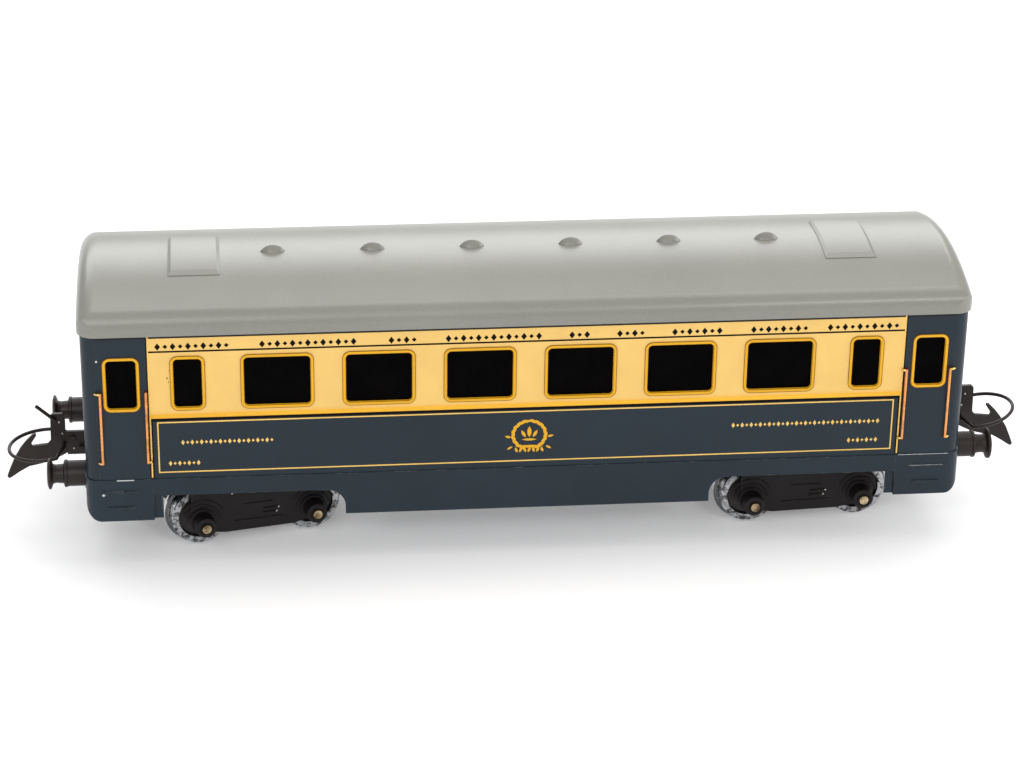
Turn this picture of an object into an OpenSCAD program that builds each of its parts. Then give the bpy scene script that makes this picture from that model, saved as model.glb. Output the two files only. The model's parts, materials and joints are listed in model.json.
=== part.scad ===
// Gauge 0 tinplate saloon coach on two four-wheel bogies, full size, millimetres.
// X runs along the coach, Y across it, Z up; the origin is on the track surface under the centre.

/* [Body] */
// length of the body over its end walls
body_length = 286; // [270:1:300]
// width of the body over its sides
body_width = 68.4; // [64:0.2:72]
// thickness of the body tinplate
sheet = 0.6; // [0.4:0.1:0.8]
// radius of the four upright body corners
corner_radius = 4.5; // [3:0.1:4.6]
// height of the top edge of the walls above the track
wall_top = 83.6; // [82.6:0.1:83.8]
// height of the floor top above the track
floor_top = 31.2; // [31:0.1:32]

/* [Windows] */
// distance between the centres of neighbouring saloon windows
window_pitch = 32.4; // [30:0.1:34]
// width of a saloon window opening
window_width = 21.2; // [16:0.2:24]
// height of every window opening
window_height = 16.9; // [12:0.1:20]
// height of the lower edge of the window openings
window_sill = 56.6; // [52:0.1:60]
// distance of the narrow windows from the middle of the coach
narrow_window_x = 109.4; // [106:0.2:112]
// width of a narrow window opening
narrow_window_width = 9; // [6:0.2:10]
// distance of the door windows from the middle of the coach
door_window_x = 130.4; // [128:0.2:132]
// width of a door window opening
door_window_width = 9.6; // [6:0.2:9.8]
// width of the raised rim around each window
window_rim = 1.1; // [0.8:0.1:1.2]

/* [Roof] */
// width of the roof over its eaves
roof_width = 71.2; // [70.8:0.1:74]
// length of the roof over its ends
roof_length = 287.8; // [287.6:0.2:292]
// height of the eaves above the track
eave_height = 82.1; // [81:0.1:83]
// height of the crown above the track
roof_height = 95.1; // [94.8:0.1:97]
// radius of the flat crown arc
crown_radius = 105; // [95:1:115]
// radius of the shoulders above the eaves, of the rounded roof ends and of the roof corners
shoulder_radius = 6; // [5.8:0.1:6.2]
// thickness of the roof tinplate
roof_sheet = 0.7; // [0.5:0.1:0.8]

/* [Underframe] */
// width over the side skirts
frame_width = 69; // [68.8:0.1:72]
// height of the lower edge of the skirts above the track
skirt_bottom = 16.4; // [15:0.2:18]
// distance of the outer edge of a bogie opening from the middle
opening_outer = 121.5; // [120:0.5:124]
// distance of the inner edge of a bogie opening from the middle
opening_inner = 59.7; // [56:0.5:62]
// height of the upper edge of the bogie openings above the track
opening_top = 25.2; // [25:0.1:26.5]

/* [Bogies] */
// distance of each bogie pin from the middle of the coach
bogie_x = 92.8; // [91:0.2:94]
// distance between the two axles of a bogie
wheelbase = 37.2; // [36:0.2:38]
// diameter of a wheel over its flange
flange_diameter = 22.6; // [21.6:0.2:22.6]
// diameter of the wheel tread
tread_diameter = 19.6; // [18:0.2:20]
// distance between the inner faces of the two wheels of an axle
back_to_back = 28.4; // [27.6:0.2:29]
// overall length of an axle
axle_length = 59.6; // [58:0.2:62]
// diameter of an axle
axle_diameter = 3; // [2.4:0.2:3.2]
// radial clearance of the axles and pins in their holes
running_fit = 0.06; // [0.03:0.01:0.1]

/* [Buffers and couplings] */
// height of the buffer centres above the track
buffer_z = 28.8; // [28.2:0.1:28.8]
// distance of each buffer from the centre line
buffer_y = 23.5; // [22:0.5:25]
// distance of each coupling pin from the middle of the coach
coupling_pin_x = 133; // [132:0.5:134]
// height of the loop hinge above the track
loop_z = 28; // [27.4:0.1:28.4]
// diameter of the loop wire
wire_diameter = 1.2; // [1:0.1:1.4]

/* [Stored pose] */
// angle by which the left bogie is turned on its pin
bogie_turn_left = 12; // [-18:0.5:18]
// angle by which the right bogie is turned on its pin
bogie_turn_right = 4; // [-18:0.5:18]
// angle by which the left wire loop is raised above level
loop_tilt_left = -4; // [-15:1:100]
// angle by which the right wire loop is raised above level
loop_tilt_right = 12; // [-15:1:100]

/* [Hidden] */
$fn = 0;
$fa = 6;
$fs = 0.4;
half_length = body_length / 2;
half_width = body_width / 2;
half_frame = frame_width / 2;
frame_sheet = 0.8;
frame_overhang = 0.3;
frame_half_length = half_length + frame_overhang;
flat_half = half_length - corner_radius;
inner_face = half_width - sheet;
frame_inner = half_frame - frame_sheet;
floor_bottom = floor_top - frame_sheet;
flange_depth = 4;
tab_length = 5;
tab_drop = 2.6;
tab_positions = [-130, -45, 45, 130];
saloon_windows = [for (i = [0:5]) (i - 2.5) * window_pitch];
rim_height = 0.35;
glass_sheet = 0.4;
axle_z = flange_diameter / 2;
wheel_outer = back_to_back / 2 + 6;
bolster_bottom = flange_diameter + 0.8;
bolster_top = bolster_bottom + frame_sheet;
side_frame_inner = wheel_outer + 2.3;
side_frame_outer = side_frame_inner + frame_sheet;
axlebox_end = side_frame_outer + 5.5;
axlebox_radius = 3.4;
pin_radius = 2.2;
gap = 0.2;
skirt_corner = 5;
opening_corner = 6;
tongue_top = 27.8;
tongue_bottom = 26.6;
tongue_half = 3;
slot_half = 5.8;
plate = 1.2;
loop_u = 8.2;
wire_radius = wire_diameter / 2;
bend_swell = 0.03;
rail_positions = [-137.2, -122.8, 122.8, 137.2];
rail_top = 62.4;
rail_bottom = 37.8;
rail_radius = 0.45;
rail_standoff = 1.3;
shoulder_y = roof_width / 2 - shoulder_radius;
crown_z = roof_height - crown_radius;
crown_angle = asin(shoulder_y / (crown_radius - shoulder_radius));
shoulder_z = crown_z + shoulder_y / tan(crown_angle);
roof_straight = roof_length / 2 - shoulder_radius;
roof_spread = 30;
roof_depth = 20;
lap = 0.02;
// the crown stops this far short of the line where the shoulder curve touches it
edge_gap = 0.3;
hatch_inner = 98.2;
hatch_outer = 114.8;
hatch_half_width = 15.4;
hatch_height = 0.9;
hatch_foot = 0.2;
hatch_slope = 2;
hatch_angle = asin(hatch_half_width / crown_radius);
hatch_edge_y = hatch_half_width - hatch_slope;
hatch_edge_z = crown_z + sqrt(pow(crown_radius + hatch_height, 2) - pow(hatch_edge_y, 2));
hatch_foot_z = crown_z + (crown_radius + hatch_foot) * cos(hatch_angle);
hatch_edge_angle = atan((hatch_edge_z - hatch_foot_z) / hatch_slope);
vent_radius = 5.9;
vent_sink = 2.5;
vent_set_back = 3.5;
wheel_inner = back_to_back / 2;
flange_radius = flange_diameter / 2;
tread_radius = tread_diameter / 2;
// half section of a wheel, [distance from the axle's middle line, distance from the centre line]
wheel_outline = [
    [axle_diameter / 2, wheel_inner], [3.4, wheel_inner], [3.4, wheel_inner + 2], [7.2, wheel_inner + 2],
    [7.2, wheel_inner], [flange_radius, wheel_inner], [flange_radius, wheel_inner + 0.8],
    [flange_radius - 0.6, wheel_inner + 1.3], [tread_radius, wheel_inner + 1.4],
    [tread_radius - 0.15, wheel_outer - 0.3], [tread_radius - 0.4, wheel_outer], [7.4, wheel_outer],
    [7.2, wheel_outer - 1.6], [3.4, wheel_outer - 2.2], [3.4, wheel_outer + 0.8],
    [axle_diameter / 2, wheel_outer + 0.8]
];
// outline of the coupling hook, [distance from the end wall, height]
hook_outline = [
    [3.6, 25.2], [3.6, 31.2], [7.6, 32.4], [7.6, 38], [8.4, 38.8], [11.6, 38.8], [12.4, 38],
    [12.6, 29], [13.6, 27.8], [18.8, 27.2], [19.1, 28.2], [17.3, 31], [17.6, 31.6], [18.4, 31.4],
    [20.6, 29.2], [22.8, 26.4], [24.9, 22.8], [26.5, 19], [27.5, 16.4], [27.2, 15.7], [26.4, 15.8],
    [23.5, 17.8], [20.2, 19.8], [16.5, 20.6], [12.8, 21.6], [9.2, 23.4], [6, 25.2]
];

// ---- outlines ----

// rectangle with round corners, centred on x, from z0 upwards
module round_window(x, z0, w, h, r) {
    translate([x - w / 2 + r, z0])
        square([w - 2 * r, h]);
    translate([x - w / 2, z0 + r])
        square([w, h - 2 * r]);
    for (sx = [-1, 1])
        for (z = [z0 + r, z0 + h - r])
            translate([x + sx * (w / 2 - r), z])
                circle(r);
}

// all the window openings of one side, grown outwards by g
module window_shapes(g) {
    for (x = saloon_windows)
        round_window(x, window_sill - g, window_width + 2 * g, window_height + 2 * g, 1.4 + g);
    for (s = [-1, 1]) {
        round_window(s * narrow_window_x, window_sill - g,
            narrow_window_width + 2 * g, window_height + 2 * g, 1.4 + g);
        round_window(s * door_window_x, window_sill - g,
            door_window_width + 2 * g, window_height + 2 * g, 1.4 + g);
    }
}

// stands an [x, z] outline upright with its front face at y and its body behind it
module upright(y, t) {
    translate([0, y + t, 0])
        rotate([90, 0, 0])
            linear_extrude(t)
                children();
}

// plan outline of a shell with round upright corners
module plan(l, w, r) {
    square([2 * (l - r), 2 * w], center = true);
    square([2 * l, 2 * (w - r)], center = true);
    for (sx = [-1, 1])
        for (sy = [-1, 1])
            translate([sx * (l - r), sy * (w - r)])
                circle(r);
}

// ---- body ----

module side_panel() {
    difference() {
        union() {
            upright(-half_width, sheet)
                difference() {
                    translate([-flat_half, floor_top])
                        square([2 * flat_half, wall_top - floor_top]);
                    window_shapes(0);
                }
            upright(-half_width - rim_height, rim_height)
                difference() {
                    window_shapes(window_rim);
                    window_shapes(0);
                }
            translate([-flat_half, -inner_face, floor_top])
                cube([2 * flat_half, flange_depth, sheet]);
            translate([-flat_half, -inner_face, wall_top - sheet])
                cube([2 * flat_half, flange_depth - 1, sheet]);
            for (x = tab_positions)
                translate([x - tab_length / 2, -inner_face + flange_depth - sheet, floor_top - tab_drop])
                    cube([tab_length, sheet, tab_drop]);
        }
        for (s = [-1, 1])
            for (x = [122.8, 137.2])
                for (z = [rail_bottom, rail_top])
                    translate([s * x, -half_width - 1, z])
                        rotate([-90, 0, 0])
                            cylinder(r = rail_radius, h = sheet + 2);
    }
}

module side_panel_near() {
    color("darkslategray")
        side_panel();
}

module side_panel_far() {
    color("darkslategray")
        rotate([0, 0, 180])
            side_panel();
}

module end_panel() {
    translate([0, 0, floor_top])
        linear_extrude(wall_top - floor_top)
            intersection() {
                difference() {
                    plan(half_length, half_width, corner_radius);
                    plan(half_length - sheet, inner_face, corner_radius - sheet);
                }
                translate([flat_half, -half_width])
                    square([corner_radius, 2 * half_width]);
            }
    translate([half_length - sheet, -12, wall_top])
        cube([sheet, 24, 5]);
    translate([half_length, -11, 34])
        cube([rim_height, 22, 46]);
    translate([half_length - sheet - flange_depth, -inner_face + 6, floor_top])
        cube([flange_depth, 2 * inner_face - 12, sheet]);
}

module end_panel_left() {
    color("darkslategray")
        mirror([1, 0, 0])
            end_panel();
}

module end_panel_right() {
    color("darkslategray")
        end_panel();
}

module glazing() {
    translate([-136.4, -inner_face, window_sill - 2.5])
        cube([272.8, glass_sheet, window_height + 5]);
}

module glazing_near() {
    color("black")
        glazing();
}

module glazing_far() {
    color("black")
        mirror([0, 1, 0])
            glazing();
}

// one door handrail: the rail and its two bent ends
module handrail(x) {
    y = -half_width - rail_standoff;
    translate([x, y, rail_bottom])
        cylinder(r = rail_radius, h = rail_top - rail_bottom);
    for (z = [rail_bottom, rail_top]) {
        translate([x, y, z])
            sphere(rail_radius + bend_swell);
        translate([x, y, z])
            rotate([-90, 0, 0])
                cylinder(r = rail_radius, h = rail_standoff + sheet);
    }
}

module handrails() {
    for (x = rail_positions)
        handrail(x);
}

module handrails_near() {
    color("goldenrod")
        handrails();
}

module handrails_far() {
    color("goldenrod")
        rotate([0, 0, 180])
            handrails();
}

// ---- underframe ----

module floor_plate() {
    color("dimgray")
        difference() {
            translate([0, 0, floor_bottom])
                linear_extrude(frame_sheet)
                    plan(frame_half_length - frame_sheet, frame_inner, corner_radius - frame_sheet);
            for (s = [-1, 1]) {
                translate([s * bogie_x, 0, floor_bottom - 1])
                    cylinder(r = pin_radius, h = frame_sheet + 2);
                translate([s * coupling_pin_x, 0, floor_bottom - 1])
                    cylinder(r = 1.5, h = frame_sheet + 2);
                for (x = tab_positions)
                    translate([x - tab_length / 2 - gap,
                        s * (inner_face - flange_depth + sheet / 2) - sheet / 2 - gap, floor_bottom - 1])
                        cube([tab_length + 2 * gap, sheet + 2 * gap, frame_sheet + 2]);
            }
        }
}

module side_skirt() {
    upright(-half_frame, frame_sheet)
        difference() {
            translate([-opening_outer, skirt_bottom])
                square([2 * opening_outer, floor_top - skirt_bottom]);
            for (s = [-1, 1])
                mirror([s < 0 ? 1 : 0, 0]) {
                    translate([opening_inner, skirt_bottom - 1])
                        square([opening_outer, opening_top - opening_corner - skirt_bottom + 1]);
                    translate([opening_inner + opening_corner, skirt_bottom])
                        square([opening_outer, opening_top - skirt_bottom]);
                    translate([opening_inner + opening_corner, opening_top - opening_corner])
                        circle(opening_corner);
                }
        }
}

module side_skirt_near() {
    color("darkslategray")
        side_skirt();
}

module side_skirt_far() {
    color("darkslategray")
        mirror([0, 1, 0])
            side_skirt();
}

// skirt that wraps one end of the underframe, with its steps, edge folds and drawbar slot
module end_skirt() {
    difference() {
        intersection() {
            translate([0, 0, skirt_bottom])
                linear_extrude(floor_top - skirt_bottom)
                    difference() {
                        plan(frame_half_length, half_frame, corner_radius);
                        plan(frame_half_length - frame_sheet, frame_inner, corner_radius - frame_sheet);
                        translate([-frame_half_length, -half_frame])
                            square([frame_half_length + opening_outer, 2 * half_frame]);
                    }
            upright(-half_frame, 2 * half_frame) {
                translate([opening_outer, skirt_bottom])
                    square([frame_half_length - opening_outer - skirt_corner, floor_top - skirt_bottom]);
                translate([opening_outer, skirt_bottom + skirt_corner])
                    square([frame_half_length - opening_outer, floor_top - skirt_bottom - skirt_corner]);
                translate([frame_half_length - skirt_corner, skirt_bottom + skirt_corner])
                    circle(skirt_corner);
            }
        }
        translate([half_length - 2, -slot_half, tongue_bottom - 0.6])
            cube([4, 2 * slot_half, tongue_top - tongue_bottom + 1.2]);
        for (s = [-1, 1])
            translate([half_length - 2, s * buffer_y, buffer_z])
                rotate([0, 90, 0])
                    cylinder(r = 1.5, h = 4);
    }
    for (s = [-1, 1]) {
        translate([opening_outer, s * (frame_inner - 1.5) - 1.5, skirt_bottom])
            cube([frame_sheet, 3, opening_top - skirt_bottom]);
        translate([126, s * (half_frame + 0.2) - 0.2, 26.5])
            cube([12, 0.4, 0.8]);
        translate([127.5, s * (half_frame + 0.2) - 0.2, 20.8])
            cube([9, 0.4, 0.8]);
    }
}

module end_skirt_left() {
    color("darkslategray")
        mirror([1, 0, 0])
            end_skirt();
}

module end_skirt_right() {
    color("darkslategray")
        end_skirt();
}

// ---- buffers ----

module buffer() {
    translate([frame_half_length, 0, buffer_z])
        rotate([0, 90, 0])
            rotate_extrude()
                polygon([
                    [0, -2.8], [1.5, -2.8], [1.5, 0], [4.2, 0], [4.2, 5.9], [4.5, 6.1], [4.5, 6.9],
                    [4.1, 7.1], [3.2, 7.3], [3, 9.6], [3.2, 10.6], [5, 11.3], [5.1, 11.6], [5, 12.1],
                    [3.6, 12.5], [0, 12.7]
                ]);
}

module buffer_left_near() {
    color("black")
        mirror([1, 0, 0])
            translate([0, -buffer_y, 0])
                buffer();
}

module buffer_left_far() {
    color("black")
        mirror([1, 0, 0])
            translate([0, buffer_y, 0])
                buffer();
}

module buffer_right_near() {
    color("black")
        translate([0, -buffer_y, 0])
            buffer();
}

module buffer_right_far() {
    color("black")
        translate([0, buffer_y, 0])
            buffer();
}

// ---- pins fixed in the floor ----

module bogie_pin() {
    translate([0, 0, bolster_bottom - gap - 1])
        cylinder(r = 4.2, h = 1);
    translate([0, 0, bolster_bottom - gap])
        cylinder(r = pin_radius, h = floor_top - bolster_bottom + gap);
    translate([0, 0, bolster_top + gap])
        cylinder(r = 5.5, h = floor_bottom - bolster_top - gap);
    translate([0, 0, floor_top])
        cylinder(r = 4, h = 1);
}

module bogie_pin_left() {
    color("silver")
        translate([-bogie_x, 0, 0])
            bogie_pin();
}

module bogie_pin_right() {
    color("silver")
        translate([bogie_x, 0, 0])
            bogie_pin();
}

module coupling_pin() {
    translate([0, 0, tongue_bottom - gap - 1])
        cylinder(r = 3, h = 1);
    translate([0, 0, tongue_bottom - gap])
        cylinder(r = 1.5, h = floor_top - tongue_bottom + gap);
    translate([0, 0, tongue_top + gap])
        cylinder(r = 3, h = floor_bottom - tongue_top - gap);
    translate([0, 0, floor_top])
        cylinder(r = 2.6, h = 0.9);
}

module coupling_pin_left() {
    color("silver")
        translate([-coupling_pin_x, 0, 0])
            coupling_pin();
}

module coupling_pin_right() {
    color("silver")
        translate([coupling_pin_x, 0, 0])
            coupling_pin();
}

// ---- roof ----

// turns a lengthwise outline about the crown's axis, through an angle to each side
module crown_sweep(angle) {
    translate([0, 0, crown_z])
        rotate([0, -90, 0])
            rotate([0, 0, -angle])
                rotate_extrude(angle = 2 * angle, $fn = 360)
                    children();
}

// outline of the roof section, [y, z], inset by t
module roof_section(t) {
    crown_edge = shoulder_y + (shoulder_radius - t) * sin(crown_angle) - edge_gap;
    intersection() {
        translate([-roof_width / 2, eave_height - 1 - t])
            square([roof_width, roof_height + 1 - eave_height + t]);
        translate([0, crown_z])
            circle(crown_radius - t, $fn = 360);
        union() {
            translate([-crown_edge, 0])
                square([2 * crown_edge, roof_height]);
            for (s = [-1, 1])
                translate([s * shoulder_y, shoulder_z])
                    circle(shoulder_radius - t);
            translate([-roof_width / 2 + t, 0])
                square([roof_width - 2 * t, shoulder_z]);
        }
    }
}

// roof inset by t all round: its section, with ends that round over along the arch and round corners in plan
module roof_solid(t) {
    r = shoulder_radius - t;
    intersection() {
        rotate([90, 0, 90])
            translate([0, 0, -roof_length / 2])
                linear_extrude(roof_length)
                    roof_section(t);
        crown_sweep(roof_spread)
            translate([crown_radius - shoulder_radius, 0]) {
                square([2 * (r + lap), 2 * roof_straight], center = true);
                translate([-roof_depth, 0])
                    square([2 * roof_depth, 2 * (roof_straight + r)], center = true);
                for (s = [-1, 1])
                    translate([0, s * roof_straight])
                        circle(r + lap);
            }
        linear_extrude(roof_height + 2)
            plan(roof_length / 2 - t, roof_width / 2 - t, r);
    }
}

module roof_shell() {
    color("gray")
        union() {
            difference() {
                roof_solid(0);
                roof_solid(roof_sheet);
                translate([-roof_length, -roof_width, 0])
                    cube([2 * roof_length, 2 * roof_width, eave_height]);
            }
            for (x = [-100, 0, 100])
                for (s = [-1, 1])
                    translate([x - 4, s * 33.2 - 1.7, wall_top])
                        cube([8, 3.4, roof_sheet]);
        }
}

// raised panel that follows the crown, with its four edges sloped
module roof_hatch() {
    half = (hatch_outer - hatch_inner) / 2;
    foot = crown_radius + hatch_foot;
    top = crown_radius + hatch_height;
    difference() {
        translate([hatch_inner + half, 0, 0])
            crown_sweep(hatch_angle)
                polygon([
                    [crown_radius, -half], [foot, -half], [top, hatch_slope / 2 - half],
                    [top, half - hatch_slope / 2], [foot, half], [crown_radius, half]
                ]);
        for (s = [-1, 1])
            translate([hatch_inner - 1, s * hatch_edge_y, hatch_edge_z])
                rotate([s * -hatch_edge_angle, 0, 0])
                    translate([0, -5, 0])
                        cube([2 * half + 2, 10, 4]);
    }
}

module roof_hatch_left() {
    color("gray")
        mirror([1, 0, 0])
            roof_hatch();
}

module roof_hatch_right() {
    color("gray")
        roof_hatch();
}

// a raised ventilator hood on the crown: two bulging faces that meet in an arched ridge
module ventilator() {
    difference() {
        intersection() {
            translate([0, vent_set_back, roof_height - vent_sink])
                sphere(vent_radius);
            translate([0, -vent_set_back, roof_height - vent_sink])
                sphere(vent_radius);
            translate([-vent_radius, -vent_radius, roof_height - 1])
                cube([2 * vent_radius, 2 * vent_radius, vent_radius]);
        }
        translate([-vent_radius, 0, crown_z])
            rotate([0, 90, 0])
                cylinder(r = crown_radius, h = 2 * vent_radius, $fn = 360);
    }
}

module roof_ventilators() {
    color("gray")
        for (x = saloon_windows)
            translate([x, 0, 0])
                ventilator();
}

// ---- bogies ----

// puts a piece drawn about its own bogie pin on the left (-1) or right (1) bogie
module on_bogie(side) {
    translate([side * bogie_x, 0, 0])
        rotate([0, 0, side < 0 ? bogie_turn_left : bogie_turn_right])
            children();
}

module bolster() {
    difference() {
        translate([-21.5, -side_frame_inner, bolster_bottom])
            cube([43, 2 * side_frame_inner, frame_sheet]);
        translate([0, 0, bolster_bottom - 1])
            cylinder(r = pin_radius + running_fit, h = frame_sheet + 2);
    }
}

module bolster_left() {
    color("black")
        on_bogie(-1)
            bolster();
}

module bolster_right() {
    color("black")
        on_bogie(1)
            bolster();
}

module side_frame() {
    difference() {
        upright(-side_frame_outer, frame_sheet)
            polygon([
                [-21.5, bolster_top], [21.5, bolster_top], [22.6, axle_z + 2], [21.4, axle_z - 3.2],
                [18.6, axle_z - 4.4], [15.6, axle_z - 4.6], [11, 6], [-11, 6], [-15.6, axle_z - 4.6],
                [-18.6, axle_z - 4.4], [-21.4, axle_z - 3.2], [-22.6, axle_z + 2]
            ]);
        for (s = [-1, 1])
            translate([s * wheelbase / 2, 0, axle_z])
                rotate([90, 0, 0])
                    cylinder(r = axle_diameter / 2 + running_fit, h = half_width);
    }
}

module side_frame_left_near() {
    color("black")
        on_bogie(-1)
            side_frame();
}

module side_frame_left_far() {
    color("black")
        on_bogie(-1)
            mirror([0, 1, 0])
                side_frame();
}

module side_frame_right_near() {
    color("black")
        on_bogie(1)
            side_frame();
}

module side_frame_right_far() {
    color("black")
        on_bogie(1)
            mirror([0, 1, 0])
                side_frame();
}

// four axleboxes on the outside of a bogie's side frames
module axleboxes() {
    for (sx = [-1, 1])
        for (sy = [-1, 1])
            translate([sx * wheelbase / 2, sy * (side_frame_outer + axlebox_end) / 2, axle_z])
                rotate([90, 0, 0])
                    difference() {
                        cylinder(r = axlebox_radius, h = axlebox_end - side_frame_outer, center = true);
                        cylinder(r = axle_diameter / 2 + running_fit, h = 10, center = true);
                    }
}

module axleboxes_left() {
    color("black")
        on_bogie(-1)
            axleboxes();
}

module axleboxes_right() {
    color("black")
        on_bogie(1)
            axleboxes();
}

module axle_at(side, x) {
    color("goldenrod")
        on_bogie(side)
            translate([x, 0, axle_z])
                rotate([90, 0, 0])
                    cylinder(r = axle_diameter / 2, h = axle_length, center = true);
}

module wheels_at(side, x) {
    color("silver")
        on_bogie(side)
            for (s = [-1, 1])
                translate([x, 0, axle_z])
                    rotate([s * 90, 0, 0])
                        rotate_extrude()
                            polygon(wheel_outline);
}

module axle_left_outer() {
    axle_at(-1, -wheelbase / 2);
}

module axle_left_inner() {
    axle_at(-1, wheelbase / 2);
}

module axle_right_inner() {
    axle_at(1, -wheelbase / 2);
}

module axle_right_outer() {
    axle_at(1, wheelbase / 2);
}

module wheels_left_outer() {
    wheels_at(-1, -wheelbase / 2);
}

module wheels_left_inner() {
    wheels_at(-1, wheelbase / 2);
}

module wheels_right_inner() {
    wheels_at(1, -wheelbase / 2);
}

module wheels_right_outer() {
    wheels_at(1, wheelbase / 2);
}

// ---- couplings ----

// drawbar: a flat tongue on the floor pin that turns upright outside the end skirt
module drawbar() {
    difference() {
        union() {
            translate([coupling_pin_x, 0, tongue_bottom])
                cylinder(r = tongue_half + 0.6, h = plate);
            translate([coupling_pin_x, -tongue_half, tongue_bottom])
                cube([half_length - coupling_pin_x + 3.4, 2 * tongue_half, plate]);
            translate([half_length + 1.4, -plate, 24.4])
                cube([5.8, plate, 8.4]);
        }
        translate([coupling_pin_x, 0, tongue_bottom - 1])
            cylinder(r = 1.5 + running_fit, h = plate + 2);
        translate([half_length + 3.4, 0, 20])
            cube([6, 6, 20]);
        translate([half_length + 5.4, 1, 30])
            rotate([90, 0, 0])
                cylinder(r = 0.8, h = 4);
    }
}

module drawbar_left() {
    color("black")
        mirror([1, 0, 0])
            drawbar();
}

module drawbar_right() {
    color("black")
        drawbar();
}

module hook() {
    upright(0, plate)
        difference() {
            translate([half_length, 0])
                polygon(hook_outline);
            translate([half_length + loop_u, loop_z])
                circle(wire_radius + running_fit);
            translate([half_length + 5.4, 30])
                circle(0.8);
        }
}

module hook_left() {
    color("black")
        mirror([1, 0, 0])
            hook();
}

module hook_right() {
    color("black")
        hook();
}

module hook_rivet() {
    translate([half_length + 5.4, 0, 30])
        rotate([90, 0, 0]) {
            cylinder(r = 0.8, h = 2 * plate, center = true);
            for (s = [-1, 1])
                translate([0, 0, s * (plate + 0.3)])
                    cylinder(r = 1.3, h = 0.6, center = true);
        }
}

module hook_rivet_left() {
    color("silver")
        mirror([1, 0, 0])
            hook_rivet();
}

module hook_rivet_right() {
    color("silver")
        hook_rivet();
}

// closed wire loop: its hinge bar through the hook, two spreading arms and a round nose
module loop(tilt) {
    nose = 11.6;
    nose_u = 6.6;
    spread = 112;
    arm_u = nose_u + nose * cos(spread);
    arm_y = nose * sin(spread);
    root_y = 2.2;
    arm_length = sqrt(pow(arm_u, 2) + pow(arm_y - root_y, 2));
    arm_angle = atan2(arm_y - root_y, arm_u);
    translate([half_length + loop_u, 0, loop_z])
        rotate([0, -tilt, 0]) {
            rotate([90, 0, 0])
                cylinder(r = wire_radius, h = 2 * root_y, center = true);
            translate([nose_u, 0, 0])
                rotate([0, 0, -spread])
                    rotate_extrude(angle = 2 * spread)
                        translate([nose, 0])
                            circle(wire_radius);
            for (s = [-1, 1]) {
                translate([0, s * root_y, 0])
                    sphere(wire_radius + bend_swell);
                translate([arm_u, s * arm_y, 0])
                    sphere(wire_radius + bend_swell);
                translate([0, s * root_y, 0])
                    rotate([0, 0, s * arm_angle])
                        rotate([0, 90, 0])
                            cylinder(r = wire_radius, h = arm_length);
            }
        }
}

module loop_left() {
    color("black")
        mirror([1, 0, 0])
            loop(loop_tilt_left);
}

module loop_right() {
    color("black")
        loop(loop_tilt_right);
}

// straight finger wire standing out from the top of the left hook
module lift_finger_left() {
    color("black")
        mirror([1, 0, 0])
            translate([half_length + 10.6, -wire_radius, 36.6])
                rotate([0, 48, 0])
                    cylinder(r = wire_radius, h = 8.4);
}

side_panel_near();
side_panel_far();
end_panel_left();
end_panel_right();
glazing_near();
glazing_far();
handrails_near();
handrails_far();
floor_plate();
side_skirt_near();
side_skirt_far();
end_skirt_left();
end_skirt_right();
buffer_left_near();
buffer_left_far();
buffer_right_near();
buffer_right_far();
bogie_pin_left();
bogie_pin_right();
coupling_pin_left();
coupling_pin_right();
roof_shell();
roof_hatch_left();
roof_hatch_right();
roof_ventilators();
bolster_left();
side_frame_left_near();
side_frame_left_far();
axleboxes_left();
bolster_right();
side_frame_right_near();
side_frame_right_far();
axleboxes_right();
axle_left_outer();
wheels_left_outer();
axle_left_inner();
wheels_left_inner();
axle_right_inner();
wheels_right_inner();
axle_right_outer();
wheels_right_outer();
drawbar_left();
hook_left();
hook_rivet_left();
loop_left();
lift_finger_left();
drawbar_right();
hook_right();
hook_rivet_right();
loop_right();
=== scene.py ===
import json
import math
import random

import bmesh
import bpy
from mathutils import Matrix, Vector


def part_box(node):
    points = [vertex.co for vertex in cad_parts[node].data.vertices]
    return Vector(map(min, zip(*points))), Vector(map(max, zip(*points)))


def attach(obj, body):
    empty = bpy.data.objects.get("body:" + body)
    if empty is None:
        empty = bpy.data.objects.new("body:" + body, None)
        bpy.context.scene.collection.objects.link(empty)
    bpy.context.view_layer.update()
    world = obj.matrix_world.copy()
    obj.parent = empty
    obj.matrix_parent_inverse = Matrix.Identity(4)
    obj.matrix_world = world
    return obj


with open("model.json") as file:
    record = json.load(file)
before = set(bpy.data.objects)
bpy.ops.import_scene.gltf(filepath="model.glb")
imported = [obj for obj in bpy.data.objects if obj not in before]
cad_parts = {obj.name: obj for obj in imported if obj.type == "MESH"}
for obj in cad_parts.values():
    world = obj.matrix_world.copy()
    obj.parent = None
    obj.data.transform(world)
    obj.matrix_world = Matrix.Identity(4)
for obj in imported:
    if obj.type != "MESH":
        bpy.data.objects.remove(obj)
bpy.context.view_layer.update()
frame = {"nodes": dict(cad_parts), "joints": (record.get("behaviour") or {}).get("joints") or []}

MM = 0.001
SIDES = (("near", -1), ("far", 1))
ENDS = (("left", -1), ("right", 1))

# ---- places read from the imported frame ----

joints = {j["name"]: j for j in frame["joints"]}
panel_low, panel_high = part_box("side_panel_near")
rim_face = -panel_low.y / MM
face = rim_face - 0.35
floor_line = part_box("floor_plate")[1].z / MM
wall_top = panel_high.z / MM
skirt_face = -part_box("side_skirt_near")[0].y / MM
end_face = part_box("end_skirt_right")[1].x / MM
roof_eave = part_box("roof_shell")[0].z

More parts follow.
